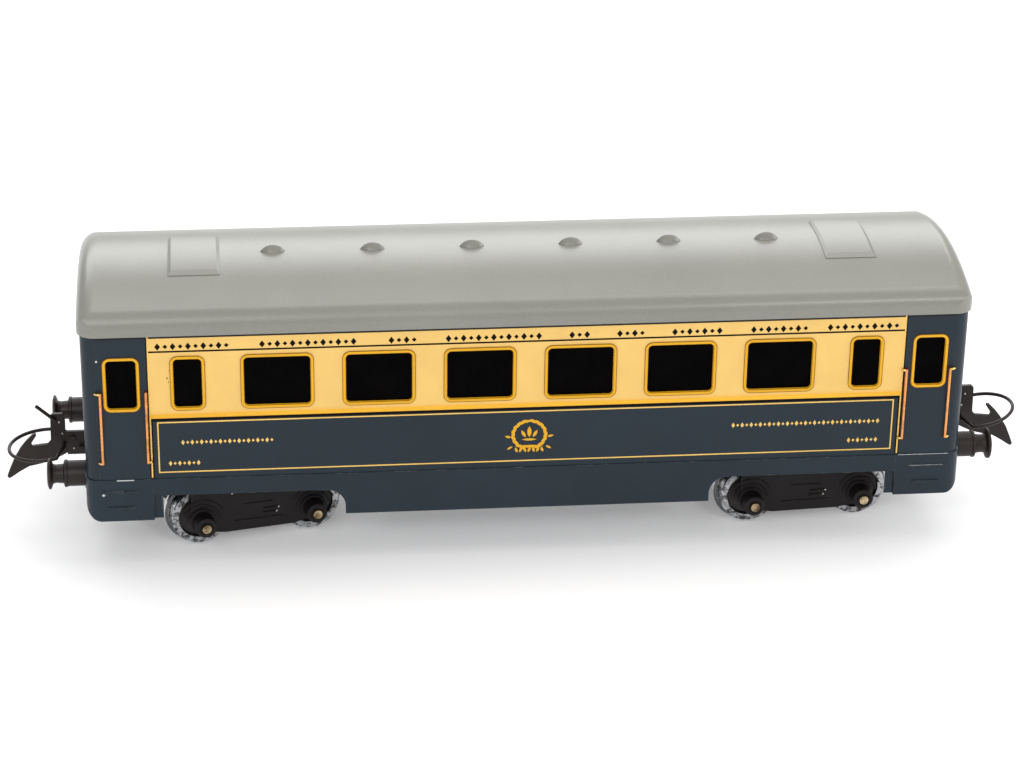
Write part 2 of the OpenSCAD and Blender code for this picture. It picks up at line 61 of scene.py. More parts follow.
# window openings, (distance from the middle of the coach, width), and their height band
WINDOWS = [(32.4 * (i - 2.5), 21.2) for i in range(6)]
NARROW_X, NARROW_W = 109.4, 9.0
DOOR_X, DOOR_W = 130.4, 9.6
SILL, HEAD = 56.6, 73.5
for s in (-1, 1):
    WINDOWS += [(s * NARROW_X, NARROW_W), (s * DOOR_X, DOOR_W)]
OPENING_R = 1.4

# edges of the printed areas, from the middle and from the track
CREAM_X = 121.7
WAIST_Z = 52.7
LETTER_Z = 76.2
GOLD_X = 119.4
GOLD_TOP, GOLD_BOTTOM = 51.3, 33.5
# depth of the painted shadow under the roof eave
EAVE_SHADOW_DEPTH = 1.25

# radii of a wheel: black centre, flange painted darker as shade, and the flange's lip painted lighter as a highlight
CENTRE_R, FLANGE_R, LIP_R = 7.62, 9.85, 11.0


# ---- shader building ----

class Shader:
    """A Principled material with short calls for its nodes."""

    def __init__(self, name):
        self.material = bpy.data.materials.new(name)
        self.material.use_nodes = True
        self.tree = self.material.node_tree
        self.tree.nodes.clear()
        self.bsdf = self.node("ShaderNodeBsdfPrincipled")
        out = self.node("ShaderNodeOutputMaterial")
        self.tree.links.new(self.bsdf.outputs[0], out.inputs[0])
        self.place = self.node("ShaderNodeTexCoord").outputs["Object"]

    def node(self, kind, **settings):
        made = self.tree.nodes.new(kind)
        for key, value in settings.items():
            setattr(made, key, value)
        return made

    def put(self, socket, value):
        if hasattr(value, "is_output"):
            self.tree.links.new(value, socket)
        else:
            socket.default_value = value

    def set(self, **values):
        for key, value in values.items():
            self.put(self.bsdf.inputs[key.replace("_", " ")], value)

    def noise(self, scale, detail=3.0, rough=0.55, seed=0.0):
        made = self.node("ShaderNodeTexNoise", noise_dimensions="4D")
        made.inputs["Scale"].default_value = scale
        made.inputs["Detail"].default_value = detail
        made.inputs["Roughness"].default_value = rough
        made.inputs["W"].default_value = seed
        self.tree.links.new(self.place, made.inputs["Vector"])
        return made.outputs["Fac"]

    def math(self, operation, a, b=0.0, c=None):
        made = self.node("ShaderNodeMath", operation=operation)
        self.put(made.inputs[0], a)
        self.put(made.inputs[1], b)
        if c is not None:
            self.put(made.inputs[2], c)
        return made.outputs[0]

    def span(self, value, low, high, to_low=0.0, to_high=1.0, smooth=False):
        made = self.node("ShaderNodeMapRange", clamp=True)
        if smooth:
            made.interpolation_type = "SMOOTHSTEP"
        self.put(made.inputs[0], value)
        for i, v in enumerate((low, high, to_low, to_high), 1):
            self.put(made.inputs[i], v)
        return made.outputs[0]

    def mix(self, factor, a, b):
        made = self.node("ShaderNodeMix", data_type="RGBA")
        self.put(made.inputs[0], factor)
        self.put(made.inputs[6], (*a, 1.0) if isinstance(a, tuple) else a)
        self.put(made.inputs[7], (*b, 1.0) if isinstance(b, tuple) else b)
        return made.outputs[2]

    def scaled(self, colour, factor):
        """A colour multiplied by a grey factor."""
        made = self.node("ShaderNodeVectorMath", operation="SCALE")
        self.put(made.inputs[0], colour[:3] if isinstance(colour, tuple) else colour)
        self.put(made.inputs["Scale"], factor)
        return made.outputs[0]

    def xyz(self):
        made = self.node("ShaderNodeSeparateXYZ")
        self.tree.links.new(self.place, made.inputs[0])
        return made.outputs[0], made.outputs[1], made.outputs[2]

    def edges(self, radius):
        """1 on edges and corners sharper than the radius, 0 on flat faces."""
        round_off = self.node("ShaderNodeBevel", samples=4)
        round_off.inputs["Radius"].default_value = radius
        plain = self.node("ShaderNodeNewGeometry")
        dot = self.node("ShaderNodeVectorMath", operation="DOT_PRODUCT")
        self.tree.links.new(round_off.outputs[0], dot.inputs[0])
        self.tree.links.new(plain.outputs["Normal"], dot.inputs[1])
        return self.span(dot.outputs["Value"], 0.97, 0.8)

    def relief(self, height, strength, distance, soft=0.0):
        """Bump from a height, over edges softened to the given radius."""
        bump = self.node("ShaderNodeBump")
        bump.inputs["Strength"].default_value = strength
        bump.inputs["Distance"].default_value = distance
        self.tree.links.new(height, bump.inputs["Height"])
        if soft:
            round_off = self.node("ShaderNodeBevel", samples=4)
            round_off.inputs["Radius"].default_value = soft
            self.tree.links.new(round_off.outputs[0], bump.inputs["Normal"])
        self.tree.links.new(bump.outputs[0], self.bsdf.inputs["Normal"])


def painted(name, colour, rough=(0.3, 0.42), edge_wear_and_shade=(0.2, 0.19, 0.17), edge_wear_and_shade_amount=0.5, shine=0.2, soft=0.12,
            vary=0.1, seed=0.0):
    """Paint over tinplate: cloudy colour, fine specks, orange peel, and an edge colour on sharp edges: rubbed-through
    wear where it is lighter than the paint, painted shade where it is darker.
    """
    sh = Shader(name)
    cloud = sh.noise(26.0, 4.0, 0.6, seed=seed)
    speck = sh.noise(1500.0, 2.0, 0.5, seed=seed + 3)
    tone = sh.math("ADD", sh.span(cloud, 0.3, 0.7, 1 - vary, 1 + vary), sh.span(speck, 0.3, 0.7, -0.04, 0.04))
    base = sh.scaled(colour, tone)
    edge_wear_and_shade_mask = sh.span(sh.noise(230.0, 5.0, 0.7, seed=seed + 7), 0.5, 0.62)
    edge_wear_and_shade_mask = sh.math("MULTIPLY", sh.math("MULTIPLY", sh.edges(0.25 * MM), edge_wear_and_shade_mask), edge_wear_and_shade_amount)
    sh.set(Base_Color=sh.mix(edge_wear_and_shade_mask, base, edge_wear_and_shade))
    smear = sh.noise(90.0, 5.0, 0.6, seed=seed + 11)
    sh.set(Roughness=sh.span(smear, 0.3, 0.7, rough[0], rough[1]), Specular_IOR_Level=shine)
    peel = sh.math("ADD", sh.noise(420.0, 2.0, 0.5, seed=seed + 5), sh.noise(40.0, 1.0, 0.5, seed=seed + 9))
    sh.relief(peel, 0.25, 0.06 * MM, soft * MM)
    return sh


def metal(name, colour, rough=(0.2, 0.35), tarnish=(0.1, 0.08, 0.06), spread=(0.55, 0.75), soft=0.1,
          seed=0.0):
    """Bare or plated metal with tarnished patches and fine scratches."""
    sh = Shader(name)
    patch = sh.span(sh.noise(160.0, 6.0, 0.7, seed=seed), spread[0], spread[1])
    tone = sh.span(sh.noise(900.0, 3.0, 0.6, seed=seed + 2), 0.3, 0.7, 0.88, 1.1)
    sh.set(Base_Color=sh.mix(patch, sh.scaled(colour, tone), tarnish))
    fine = sh.noise(1200.0, 3.0, 0.6, seed=seed + 4)
    sh.set(Metallic=1.0, Roughness=sh.span(fine, 0.3, 0.7, rough[0], rough[1]))
    sh.relief(fine, 0.3, 0.03 * MM, soft * MM)
    return sh


# ---- colours, linear ----

BLUE = (0.015, 0.0245, 0.034)
CREAM = (0.80, 0.52, 0.158)
YELLOW = (0.80, 0.36, 0.012)
ROOF_GREY = (0.225, 0.225, 0.196)
BARE_TIN = (0.30, 0.27, 0.21)
# dark brown painted shade on the raised window rims
RIM_SHADE = (0.20, 0.085, 0.008)
# near-black painted shadow under the roof eave
EAVE_SHADOW = (0.010, 0.010, 0.012)
BOGIE = (0.008, 0.006, 0.006)
IRON = (0.016, 0.010, 0.008)

# ---- materials of the CAD pieces ----


def livery(name):
    """The printed side: cream above the waist between the doors, dark blue elsewhere, bare tin inside; a painted
    shadow under the roof eave and painted shade on the raised window rims.
    """
    sh = painted(name, BLUE, edge_wear_and_shade=(0.25, 0.24, 0.21), edge_wear_and_shade_amount=0.35, seed=1.0)
    x, y, z = sh.xyz()
    base = sh.bsdf.inputs["Base Color"].links[0].from_socket
    cloud = sh.noise(60.0, 4.0, 0.6, seed=21.0)
    cream = sh.scaled(CREAM, sh.span(cloud, 0.3, 0.7, 0.94, 1.05))
    glow = sh.span(z, (WAIST_Z + 3.2) * MM, WAIST_Z * MM, 0.0, 0.75, smooth=True)
    cream = sh.mix(glow, cream, YELLOW)
    in_x = sh.math("LESS_THAN", sh.math("ABSOLUTE", x), CREAM_X * MM)
    in_z = sh.math("GREATER_THAN", z, WAIST_Z * MM)
    outside = sh.math("GREATER_THAN", sh.math("ABSOLUTE", y), (face - 0.3) * MM)
    zone = sh.math("MULTIPLY", in_x, in_z)
    base = sh.mix(zone, base, cream)
    # painted shadow: a near-black band just under the roof eave, where the roof shades the side
    eave_shadow = sh.math("GREATER_THAN", z, roof_eave - EAVE_SHADOW_DEPTH * MM)
    base = sh.mix(eave_shadow, base, EAVE_SHADOW)
    # painted shade: the raised window rims are dark brown, an outline of shade round the gilt beads
    raised = sh.math("GREATER_THAN", sh.math("ABSOLUTE", y), (face + 0.12) * MM)
    base = sh.mix(raised, base, RIM_SHADE)
    tin = sh.scaled(BARE_TIN, sh.span(sh.noise(300.0, 4.0, 0.6, seed=31.0), 0.3, 0.7, 0.8, 1.1))
    sh.set(Base_Color=sh.mix(outside, tin, base))
    sh.set(Metallic=sh.math("SUBTRACT", 1.0, outside))
    return sh.material


def wheel_metal(name, centre, axis):
    """Nickel tyre round a black painted dished centre; the flange is darkened as painted shade and its lip lightened
    as a painted highlight.
    """
    sh = Shader(name)
    away = sh.node("ShaderNodeVectorMath", operation="SUBTRACT")
    sh.tree.links.new(sh.place, away.inputs[0])
    away.inputs[1].default_value = centre
    cross = sh.node("ShaderNodeVectorMath", operation="CROSS_PRODUCT")
    sh.tree.links.new(away.outputs[0], cross.inputs[0])
    cross.inputs[1].default_value = axis
    length = sh.node("ShaderNodeVectorMath", operation="LENGTH")
    sh.tree.links.new(cross.outputs[0], length.inputs[0])
    r = length.outputs["Value"]
    ragged = sh.math("MULTIPLY_ADD", sh.noise(420.0, 3.0, 0.6, seed=3.0), 0.5 * MM, r)
    centre_mask = sh.math("LESS_THAN", ragged, CENTRE_R * MM)
    pits = sh.span(sh.noise(520.0, 6.0, 0.8, seed=5.0), 0.47, 0.56)
    nickel = sh.mix(pits, (0.50, 0.51, 0.53), (0.07, 0.065, 0.06))
    # painted shade: the flange darker than the tyre; painted highlight: its outer lip lighter
    flange_shade = sh.math("GREATER_THAN", r, FLANGE_R * MM)
    nickel = sh.mix(flange_shade, nickel, (0.13, 0.135, 0.14))
    lip_highlight = sh.math("GREATER_THAN", r, LIP_R * MM)
    nickel = sh.mix(lip_highlight, nickel, (0.62, 0.63, 0.65))
    black = sh.scaled((0.012, 0.010, 0.009), sh.span(sh.noise(300.0, 4.0), 0.3, 0.7, 0.7, 1.4))
    sh.set(Base_Color=sh.mix(centre_mask, nickel, black))
    sh.set(Metallic=sh.math("SUBTRACT", 1.0, centre_mask))
    sheen = sh.span(sh.noise(500.0, 4.0, 0.6, seed=9.0), 0.3, 0.7, 0.16, 0.34)
    sh.set(Roughness=sh.math("MULTIPLY_ADD", centre_mask, 0.28, sheen))
    sh.relief(sh.noise(650.0, 4.0, 0.7, seed=5.0), 0.5, 0.08 * MM, 0.15 * MM)
    return sh.material


def shade_backing(name):
    """Window backing painted nearly black as painted shade for the dark inside of the coach, with a faint dusty
    bloom.
    """
    sh = Shader(name)
    dust = sh.span(sh.noise(120.0, 5.0, 0.7), 0.4, 0.8, 0.6, 1.6)
    sh.set(Base_Color=sh.scaled((0.0015, 0.0012, 0.0012), dust), Specular_IOR_Level=0.02)
    sh.set(Roughness=sh.span(sh.noise(300.0, 4.0), 0.3, 0.7, 0.5, 0.7))
    sh.relief(sh.noise(200.0, 2.0), 0.1, 0.05 * MM)
    return sh.material


side_paint = livery("side_livery")
end_paint = painted("end_blue", BLUE, edge_wear_and_shade=(0.25, 0.24, 0.21), edge_wear_and_shade_amount=0.4, seed=4.0).material
frame_paint = painted("frame_blue", BLUE, edge_wear_and_shade=(0.45, 0.44, 0.40), edge_wear_and_shade_amount=0.55, seed=6.0, vary=0.14).material
roof_paint = painted("roof_grey", ROOF_GREY, rough=(0.29, 0.31), edge_wear_and_shade=(0.62, 0.62, 0.58), edge_wear_and_shade_amount=0.0, shine=0.5,
                     soft=0.0, vary=0.05, seed=8.0).material
# the darker edge colour here is painted shade along the edges and feet of the hatches and vents
hatch_paint = painted("hatch_grey", ROOF_GREY, rough=(0.29, 0.31), edge_wear_and_shade=(0.10, 0.10, 0.09), edge_wear_and_shade_amount=0.7, shine=0.5,
                      soft=0.12, vary=0.05, seed=9.0).material
window_shade_backing = shade_backing("window_painted_shade")
copper = metal("handrail_copper", (0.80, 0.34, 0.11), rough=(0.18, 0.3), tarnish=(0.22, 0.07, 0.02),
               spread=(0.5, 0.75), seed=2.0).material
# the dark brown edge colour here is painted shade round the edges of the gilt window beads and emblem
gold = painted("gold_print", (0.74, 0.38, 0.010), rough=(0.28, 0.4), edge_wear_and_shade=(0.30, 0.12, 0.01), edge_wear_and_shade_amount=0.7, shine=0.25,
               vary=0.08, seed=12.0).material
pale_gold = painted("pale_gold_print", (0.84, 0.53, 0.13), rough=(0.3, 0.45), edge_wear_and_shade=(0.9, 0.75, 0.45), edge_wear_and_shade_amount=0.2,
                    vary=0.12, seed=13.0).material
waist_yellow = painted("waist_yellow", (0.84, 0.44, 0.03), rough=(0.28, 0.4), edge_wear_and_shade=(0.9, 0.7, 0.35), edge_wear_and_shade_amount=0.2,
                       vary=0.06, seed=14.0).material
black_print = painted("black_print", (0.003, 0.002, 0.002), rough=(0.35, 0.5), edge_wear_and_shade=(0.3, 0.22, 0.1), edge_wear_and_shade_amount=0.1,
                      shine=0.08, seed=15.0).material
bogie_paint = painted("bogie_black", BOGIE, rough=(0.4, 0.6), edge_wear_and_shade=(0.16, 0.13, 0.11), edge_wear_and_shade_amount=0.6, shine=0.22,
                      vary=0.3, seed=16.0).material
iron = painted("blackened_iron", IRON, rough=(0.34, 0.55), edge_wear_and_shade=(0.2, 0.17, 0.14), edge_wear_and_shade_amount=0.7, shine=0.3,
               vary=0.3, seed=17.0).material
brass = metal("axle_brass", (0.62, 0.50, 0.30), rough=(0.22, 0.4), tarnish=(0.14, 0.09, 0.05), spread=(0.45, 0.6),
              seed=18.0).material
foot_brass = metal("handrail_foot_brass", (0.88, 0.60, 0.18), rough=(0.18, 0.3), tarnish=(0.4, 0.2, 0.05),
                   spread=(0.6, 0.85), seed=22.0).material
bare_tin = metal("bare_tin", (0.52, 0.54, 0.55), rough=(0.3, 0.45), tarnish=(0.1, 0.12, 0.14), seed=23.0).material
bright = metal("bright_steel", (0.62, 0.61, 0.60), rough=(0.22, 0.4), tarnish=(0.12, 0.10, 0.09), seed=19.0).material


def dress(names, material):
    """Gives CAD nodes a material."""
    for name in names:
        for spot in frame["nodes"][name].material_slots:
            spot.material = material


dress(["side_panel_near", "side_panel_far"], side_paint)
dress(["end_panel_left", "end_panel_right"], end_paint)
# the glazing is nearly black: painted shade for the dark inside of the coach
dress(["glazing_near", "glazing_far"], window_shade_backing)
dress(["handrails_near", "handrails_far"], copper)
dress(["floor_plate", "side_skirt_near", "side_skirt_far", "end_skirt_left", "end_skirt_right"], frame_paint)
dress([f"buffer_{e}_{s}" for e, _ in ENDS for s, _ in SIDES], iron)
dress([f"{k}_pin_{e}" for k in ("bogie", "coupling") for e, _ in ENDS], bright)
dress(["roof_shell"], roof_paint)
dress(["roof_hatch_left", "roof_hatch_right", "roof_ventilators"], hatch_paint)
for end, _ in ENDS:
    dress([f"bolster_{end}", f"side_frame_{end}_near", f"side_frame_{end}_far", f"axleboxes_{end}"], bogie_paint)
    dress([f"{k}_{end}" for k in ("drawbar", "hook", "loop", "hook_rivet")], iron)
dress(["lift_finger_left"], iron)
WHEELSETS = ("left_outer", "left_inner", "right_inner", "right_outer")
for name in WHEELSETS:
    joint = joints[f"wheelset_{name}_spin"]
    dress([f"axle_{name}"], brass)
    dress([f"wheels_{name}"], wheel_metal(f"wheel_{name}", joint["pos_m"], joint["axis"]))


# ---- mesh building ----

def piece(name, bm, material, body, turn=None, angle=40.0):
    """Turns a bmesh drawn in millimetres into a piece that rides on a body."""
    bmesh.ops.remove_doubles(bm, verts=bm.verts, dist=0.0005)
    bmesh.ops.recalc_face_normals(bm, faces=bm.faces)
    if turn:
        bm.transform(turn)
    bm.transform(Matrix.Scale(MM, 4))
    mesh = bpy.data.meshes.new(name)
    bm.to_mesh(mesh)
    bm.free()
    mesh.shade_smooth()
    mesh.set_sharp_from_angle(angle=math.radians(angle))
    ob = bpy.data.objects.new(name, mesh)
    bpy.context.scene.collection.objects.link(ob)
    mesh.materials.append(material)
    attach(ob, body)
    return ob


def ring_faces(bm, rings, closed=True, wrap=True):
    """Skins a list of vertex rings; wrap joins the last ring to the first, closed joins each ring round."""
    count = len(rings[0])
    spans = len(rings) if wrap else len(rings) - 1
    for i in range(spans):
        a, b = rings[i], rings[(i + 1) % len(rings)]
        for k in range(count if closed else count - 1):
            m = (k + 1) % count
            bm.faces.new((a[k], a[m], b[m], b[k]))


def slab(bm, x0, x1, z0, z1, y0, y1, bevel=0.03):
    """A flat strip on an upright face, its outer edges eased. y0 is the hidden back, y1 the front."""
    e = min(bevel, (x1 - x0) * 0.4, (z1 - z0) * 0.4)
    mid = y1 - (y1 - y0) * 0.35
    rings = []
    for y, g in ((y0, 0.0), (mid, 0.0), (y1, e)):
        rings.append([bm.verts.new((x, y, z)) for x, z in (
            (x0 + g, z0 + g), (x1 - g, z0 + g), (x1 - g, z1 - g), (x0 + g, z1 - g))])
    ring_faces(bm, rings, wrap=False)
    bm.faces.new(rings[0])
    bm.faces.new(rings[-1])


def tube(bm, points, radius, sides=10, flat=1.0):
    """A round or flattened wire along points, with domed ends."""
    points = [Vector(p) for p in points]
    directions = []
    for i in range(len(points)):
        a, b = points[max(i - 1, 0)], points[min(i + 1, len(points) - 1)]
        directions.append((b - a).normalized())
    up = Vector((0, 0, 1)) if abs(directions[0].z) < 0.9 else Vector((0, 1, 0))
    across = directions[0].cross(up).normalized()
    stations = [(points[0] - directions[0] * radius * 0.6, 0.45, 0),
                (points[0] - directions[0] * radius * 0.25, 0.85, 0)]
    stations += [(p, 1.0, i) for i, p in enumerate(points)]
    last = len(points) - 1
    stations += [(points[-1] + directions[-1] * radius * 0.25, 0.85, last),
                 (points[-1] + directions[-1] * radius * 0.6, 0.45, last)]
    rings = []
    for place, size, i in stations:
        d = directions[i]
        across = (across - d * across.dot(d)).normalized()
        other = d.cross(across)
        rings.append([bm.verts.new(place + (across * math.cos(t) + other * math.sin(t) * flat) * radius * size)
                      for t in (2 * math.pi * k / sides for k in range(sides))])
    ring_faces(bm, rings, wrap=False)
    bm.faces.new(rings[0])
    bm.faces.new(rings[-1])


def dome(bm, centre, normal, radius, height, sides=14, skirt=0.1):
    """A rivet head: a low dome on a short skirt, closed at the back."""
    centre, normal = Vector(centre), Vector(normal).normalized()
    a = normal.orthogonal().normalized()
    b = normal.cross(a)
    rings = []
    for r, h in ((1.0, -skirt), (1.0, 0.0), (0.92, 0.4), (0.7, 0.76), (0.35, 0.97)):
        lift = h if h < 0 else h * height
        rings.append([bm.verts.new(centre + normal * lift + (a * math.cos(t) + b * math.sin(t)) * radius * r)
                      for t in (2 * math.pi * k / sides for k in range(sides))])
    ring_faces(bm, rings, wrap=False)
    bm.faces.new(rings[0])
    top = bm.verts.new(centre + normal * height)
    for k in range(sides):
        bm.faces.new((rings[-1][k], rings[-1][(k + 1) % sides], top))


def rounded_rectangle(x0, x1, z0, z1, r, steps=8):
    """Corner-rounded outline as (x, z, outward x, outward z), counter-clockwise."""
    out = []
    for cx, cz, start in ((x1 - r, z1 - r, 0), (x0 + r, z1 - r, 90), (x0 + r, z0 + r, 180), (x1 - r, z0 + r, 270)):
        for k in range(steps + 1):
            t = math.radians(start + 90 * k / steps)
            out.append((cx + r * math.cos(t), cz + r * math.sin(t), math.cos(t), math.sin(t)))
    return out


def near_or_far(sign):
    """Turn that carries a piece drawn on the near side to its own side."""
    return None if sign < 0 else Matrix.Rotation(math.pi, 4, "Z")


# ---- window rims: a rounded gilt bead with a thin liner in the opening ----

LINER = 0.06
BEAD_HALF = 0.46
BEAD_HIGH = 0.5
BEAD_MIDDLE = 0.5


def bead_profile():
    """(outward offset from the opening's edge, height above the panel), open at the back."""
    out = [(-LINER, -0.5), (-LINER, 0.1)]
    for k in range(1, 12):
        t = math.pi * (1 - k / 12)
        c, s = math.cos(t), math.sin(t)
        out.append((BEAD_MIDDLE + BEAD_HALF * math.copysign(abs(c) ** 0.5, c), BEAD_HIGH * abs(s) ** 0.5))
    out += [(BEAD_MIDDLE + BEAD_HALF, -0.05), (0.2, -0.3)]
    return out


profile = bead_profile()
for side, sign in SIDES:
    bm = bmesh.new()
    for x, w in WINDOWS:
        rings = []
        for px, pz, nx, nz in rounded_rectangle(x - w / 2, x + w / 2, SILL, HEAD, OPENING_R):
            rings.append([bm.verts.new((px + nx * o, -face - h, pz + nz * o)) for o, h in profile])
        ring_faces(bm, rings)
    piece(f"window_rims_{side}", bm, gold, "coach_body", near_or_far(sign))

# ---- waist bead, lining and letterboard line ----

LIFT = 0.04
for side, sign in SIDES:
    turn = near_or_far(sign)
    bm = bmesh.new()
    steps, low, high, proud = 8, WAIST_Z + 0.1, WAIST_Z + 1.5, 0.2
    rings = []
    for x, s in ((-CREAM_X, 0.0), (-CREAM_X + 0.25, 1.0), (CREAM_X - 0.25, 1.0), (CREAM_X, 0.0)):
        ring = []
        for k in range(steps + 1):
            t = math.pi * k / steps
            y, z = -face + 0.02 - s * proud * math.sin(t), (low + high) / 2 - (high - low) / 2 * math.cos(t)
            ring.append(bm.verts.new((x, y, z)))
        ring += [bm.verts.new((x, -face + 0.1, high)), bm.verts.new((x, -face + 0.1, low))]
        rings.append(ring)
    ring_faces(bm, rings, wrap=False)
    bm.faces.new(rings[0])
    bm.faces.new(rings[-1])
    piece(f"waist_bead_{side}", bm, waist_yellow, "coach_body", turn)

    bm = bmesh.new()
    slab(bm, -CREAM_X, CREAM_X, LETTER_Z - 0.3, LETTER_Z + 0.3, -face + 0.05, -face - LIFT)
    slab(bm, -CREAM_X, CREAM_X, WAIST_Z - 0.85, WAIST_Z + 0.05, -face + 0.05, -face - LIFT)
    for s in (-1, 1):
        x = s * (CREAM_X + 0.45)
        slab(bm, x - 0.18, x + 0.18, floor_line + 0.4, wall_top - 1.6, -face + 0.05, -face - LIFT)
        x = s * (CREAM_X - 0.5)
        slab(bm, x - 0.22, x + 0.22, floor_line + 0.4, WAIST_Z - 0.9, -face + 0.05, -face - LIFT)
    piece(f"black_lining_{side}", bm, black_print, "coach_body", turn)

    bm = bmesh.new()
    y0, y1 = -face + 0.05, -face - LIFT
    slab(bm, -GOLD_X, GOLD_X, GOLD_TOP - 0.25, GOLD_TOP + 0.2, y0, y1)
    slab(bm, -GOLD_X, GOLD_X, GOLD_BOTTOM - 0.22, GOLD_BOTTOM + 0.22, y0, y1)
    for s in (-1, 1):
        slab(bm, s * GOLD_X - 0.22, s * GOLD_X + 0.22, GOLD_BOTTOM - 0.22, GOLD_TOP + 0.2, y0, y1 - 0.003)
        x = s * CREAM_X
        slab(bm, x - 0.24, x + 0.24, floor_line + 0.5, wall_top - 1.5, y0, y1 - 0.006)
    piece(f"gold_lining_{side}", bm, pale_gold, "coach_body", turn)

# ---- rows of plain ornaments on the letterboard and the lower panel ----


def lozenge(bm, x, z, width, height, y_back, y_front):
    """A small raised diamond with its top edge eased."""
    rings = []
    for y, g in ((y_back, 1.0), ((y_back + y_front) / 2, 1.0), (y_front, 0.8)):
        rings.append([bm.verts.new((x + dx * g * width / 2, y, z + dz * g * height / 2))
                      for dx, dz in ((1, 0), (0, 1), (-1, 0), (0, -1))])
    ring_faces(bm, rings, wrap=False)
    bm.faces.new(rings[0])
    bm.faces.new(rings[-1])


def ornament_row(bm, start, count, z, height, pitch):
    """Tall lozenges and dots in turn, starting at a place along the coach."""
    for k in range(count):
        tall, wide = (height, pitch * 0.8) if k % 2 == 0 else (height * 0.62, pitch * 0.66)
        lozenge(bm, start + k * pitch, z, wide, tall, -face + 0.05, -face - LIFT)


LETTER_ROWS = ((-118.6, 10), (-85.6, 13), (-44.6, 4), (-26.4, 13), (13.2, 3), (28.6, 4), (46.4, 7), (72.0, 8),
               (97.0, 10))
GOLD_ROWS = ((-111.6, 44.0, 20), (-115.8, 36.6, 7), (66.8, 43.8, 33), (105.4, 37.0, 7))
LETTER_HIGH, LETTER_PITCH = 2.6, 2.415
GOLD_HIGH, GOLD_PITCH = 1.9, 1.495
for side, sign in SIDES:
    turn = near_or_far(sign)
    bm = bmesh.new()
    for start, count in LETTER_ROWS:
        ornament_row(bm, start, count, LETTER_Z + 1.75, LETTER_HIGH, LETTER_PITCH)
    piece(f"letterboard_ornament_{side}", bm, black_print, "coach_body", turn)
    bm = bmesh.new()
    for start, z, count in GOLD_ROWS:
        ornament_row(bm, start, count, z, GOLD_HIGH, GOLD_PITCH)
    piece(f"panel_ornament_{side}", bm, pale_gold, "coach_body", turn)

# ---- wreath emblem in the middle of the panel ----

EMBLEM_Z = 42.8
WREATH_X, WREATH_Z = 5.3, 5.0
WREATH_LEAVES = 15


def leaf(bm, x, z, angle, length, width):
    """A flat pointed leaf with a raised midrib, lying on the panel."""
    a = math.radians(angle)
    along, across = (math.cos(a), math.sin(a)), (-math.sin(a), math.cos(a))
    outline = ((-0.5, 0.0), (-0.2, 0.42), (0.15, 0.45), (0.5, 0.0), (0.15, -0.45), (-0.2, -0.42))
    rings = []
    for y, g in ((-face + 0.05, 1.0), (-face - LIFT * 0.6, 1.0), (-face - LIFT, 0.75)):
        rings.append([bm.verts.new((x + (along[0] * u * length + across[0] * v * width) * g, y,
                                    z + (along[1] * u * length + across[1] * v * width) * g)) for u, v in outline])
    ring_faces(bm, rings, wrap=False)
    bm.faces.new(rings[0])
    rib = [bm.verts.new((x + along[0] * u * length, -face - LIFT - 0.04, z + along[1] * u * length))
           for u in (-0.3, 0.3)]
    top = rings[-1]
    bm.faces.new((top[0], top[1], rib[0]))
    bm.faces.new((top[1], top[2], rib[1], rib[0]))
    bm.faces.new((top[2], top[3], rib[1]))
    bm.faces.new((top[3], top[4], rib[1]))
    bm.faces.new((top[4], top[5], rib[0], rib[1]))
    bm.faces.new((top[5], top[0], rib[0]))


for side, sign in SIDES:
    bm = bmesh.new()
    leaves = random.Random(5)
    for s in (-1, 1):
        for k in range(WREATH_LEAVES):
            t = math.radians(-62 + 140 * k / (WREATH_LEAVES - 1))
            x, z = s * WREATH_X * math.cos(t), EMBLEM_Z + WREATH_Z * math.sin(t)
            tangent = math.degrees(math.atan2(WREATH_Z * math.cos(t), -s * WREATH_X * math.sin(t)))
            leaf(bm, x, z, tangent + (22 if k % 2 else -22), 2.2 + 0.3 * leaves.random(), 1.25)
        leaf(bm, s * 6.9, EMBLEM_Z - 0.6, 14 * s, 2.2, 0.9)
        leaf(bm, s * 1.9, EMBLEM_Z + 0.4, 90 - 30 * s, 3.0, 1.15)
        leaf(bm, s * 6.3, EMBLEM_Z - 4.6, -30 * s, 2.2, 0.8)
    leaf(bm, 0, EMBLEM_Z + WREATH_Z, 0, 1.8, 0.9)
    leaf(bm, 0, EMBLEM_Z + 1.1, 90, 4.0, 1.5)
    leaf(bm, 0, EMBLEM_Z - 1.7, 0, 5.0, 0.9)
    leaf(bm, 0, EMBLEM_Z - 4.2, 0, 9.5, 1.1)
    for k in range(7):
        leaf(bm, -4.2 + 1.4 * k, EMBLEM_Z - 5.4, 90 + 22 * (-1) ** k, 2.0, 0.95)
    piece(f"emblem_wreath_{side}", bm, gold, "coach_body", near_or_far(sign))

# ---- feet of the door handrails ----

RAIL_TOP, RAIL_BOTTOM = 62.4, 37.8
FEET = ((-137.2, RAIL_TOP, -1.7), (-137.2, RAIL_BOTTOM, -1.2), (-122.8, RAIL_BOTTOM, 1.1),
        (137.2, RAIL_TOP, 1.7), (137.2, RAIL_BOTTOM, 1.2), (122.8, RAIL_BOTTOM, -1.4), (122.8, RAIL_TOP, -1.4))
for side, sign in SIDES:
    bm = bmesh.new()
    for x, z, reach in FEET:
        tube(bm, [(x, -face - 1.2, z), (x + reach * 0.45, -face - 1.1, z - 0.05), (x + reach, -face - 0.42, z - 0.1)],
             0.42, 10)
    piece(f"handrail_feet_{side}", bm, foot_brass, "coach_body", near_or_far(sign))

# ---- wear, painted highlights and fixings on the underframe and doors ----

